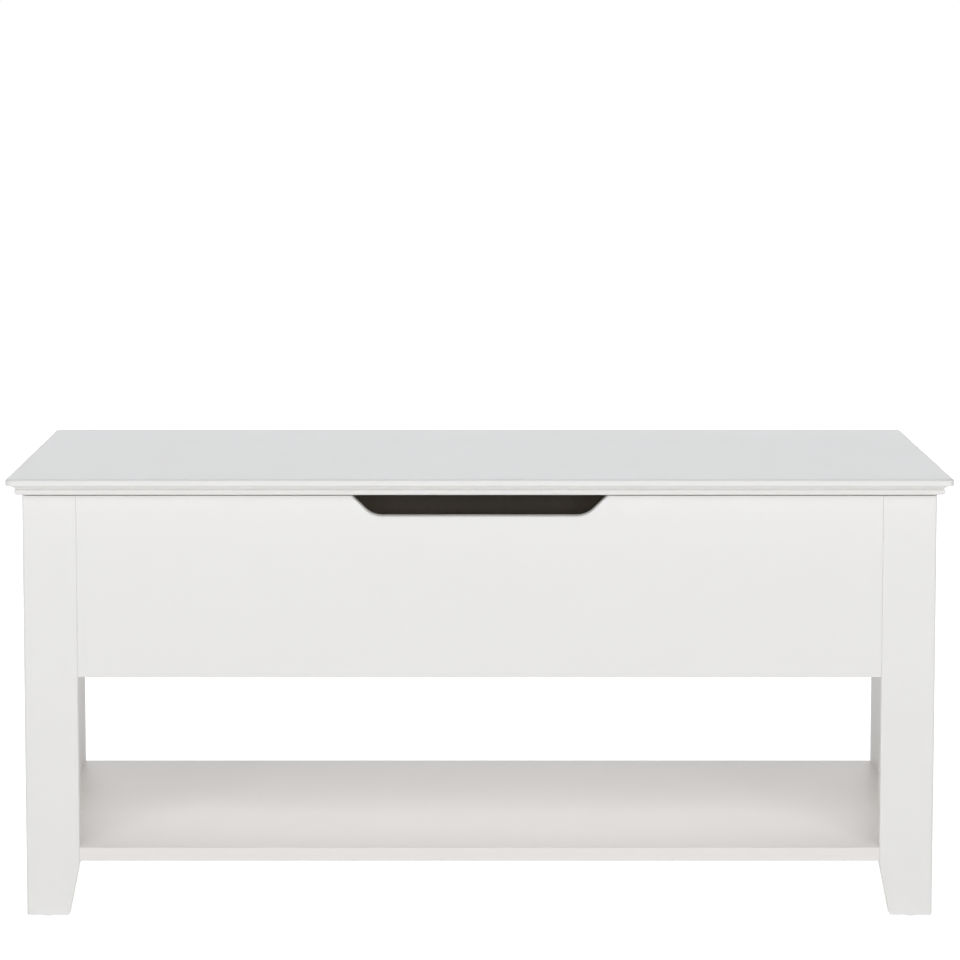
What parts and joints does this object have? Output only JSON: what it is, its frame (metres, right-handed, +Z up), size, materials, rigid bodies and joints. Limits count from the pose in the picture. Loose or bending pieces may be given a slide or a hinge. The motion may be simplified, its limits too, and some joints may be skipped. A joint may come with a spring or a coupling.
{
  "type": "storage bench",
  "caption": "White storage bench: a lift-up seat lid on a shallow closed box, tapered board legs and an open shelf near the floor.",
  "frame": {"origin": "on the floor under the middle of the lid", "axes": "+X to the right seen from the front, +Y to the back, +Z up"},
  "size_m": [1, 0.4, 0.4735],
  "materials": {
    "white_paint": "satin white lacquer on board",
    "beech": "plain dowel",
    "cap_plastic": "moulded white",
    "glide_plastic": "moulded off-white",
    "bumper_rubber": "soft translucent",
    "zinc": "die-cast zinc",
    "nickel_steel": "nickel plated"
  },
  "bodies": {
    "carcass": {"back_cam_bolts": "nickel_steel", "back_cam_caps": "cap_plastic", "back_cam_locks": "zinc", "back_dowels": "beech", "back_panel": "white_paint", "box_floor": "white_paint", "foot_glides": "glide_plastic", "front_cam_bolts": "nickel_steel", "front_cam_caps": "cap_plastic", "front_cam_locks": "zinc", "front_dowels": "beech", "front_panel": "white_paint", "front_stile_left": "white_paint", "front_stile_right": "white_paint", "hinge_back_leaf_left": "nickel_steel", "hinge_back_leaf_middle": "nickel_steel", "hinge_back_leaf_right": "nickel_steel", "hinge_back_screws": "nickel_steel", "hinge_pin_left": "nickel_steel", "hinge_pin_middle": "nickel_steel", "hinge_pin_right": "nickel_steel", "lid_bumpers": "bumper_rubber", "lower_shelf": "white_paint", "shelf_cam_bolts": "nickel_steel", "shelf_cam_locks": "zinc", "shelf_dowels": "beech", "side_panel_left": "white_paint", "side_panel_right": "white_paint", "stay_plate_left": "nickel_steel", "stay_plate_right": "nickel_steel", "stay_plate_screws": "nickel_steel", "stay_stud_left": "nickel_steel", "stay_stud_right": "nickel_steel", "stay_washer_left": "cap_plastic", "stay_washer_right": "cap_plastic", "stile_dowels": "beech"},
    "lid": {"hinge_lid_leaf_left": "nickel_steel", "hinge_lid_leaf_middle": "nickel_steel", "hinge_lid_leaf_right": "nickel_steel", "hinge_lid_screws": "nickel_steel", "lid_panel": "white_paint", "stay_bracket_left": "nickel_steel", "stay_bracket_right": "nickel_steel", "stay_bracket_screws": "nickel_steel", "stay_rivet_left": "nickel_steel", "stay_rivet_right": "nickel_steel"},
    "stay_arm_left": {"stay_arm_left": "nickel_steel"},
    "stay_arm_right": {"stay_arm_right": "nickel_steel"}
  },
  "joints": [
    {"name": "lid_hinge", "type": "hinge", "parent": "carcass", "child": "lid", "pos_m": [0, 0.1971, 0.4529], "axis": [-1, 0, 0], "range_deg": [0, 95]},
    {"name": "stay_swing_left", "type": "hinge", "parent": "lid", "child": "stay_arm_left", "pos_m": [-0.465, 0.10916, 0.4435], "axis": [1, 0, 0], "range_deg": [0, 47.5]},
    {"name": "stay_swing_right", "type": "hinge", "parent": "lid", "child": "stay_arm_right", "pos_m": [0.465, 0.10916, 0.4435], "axis": [1, 0, 0], "range_deg": [0, 47.5]}
  ],
  "couplings": [
    {"joint": "stay_swing_left", "follows": "lid_hinge", "ratio": 0.5},
    {"joint": "stay_swing_right", "follows": "lid_hinge", "ratio": 0.5}
  ]
}
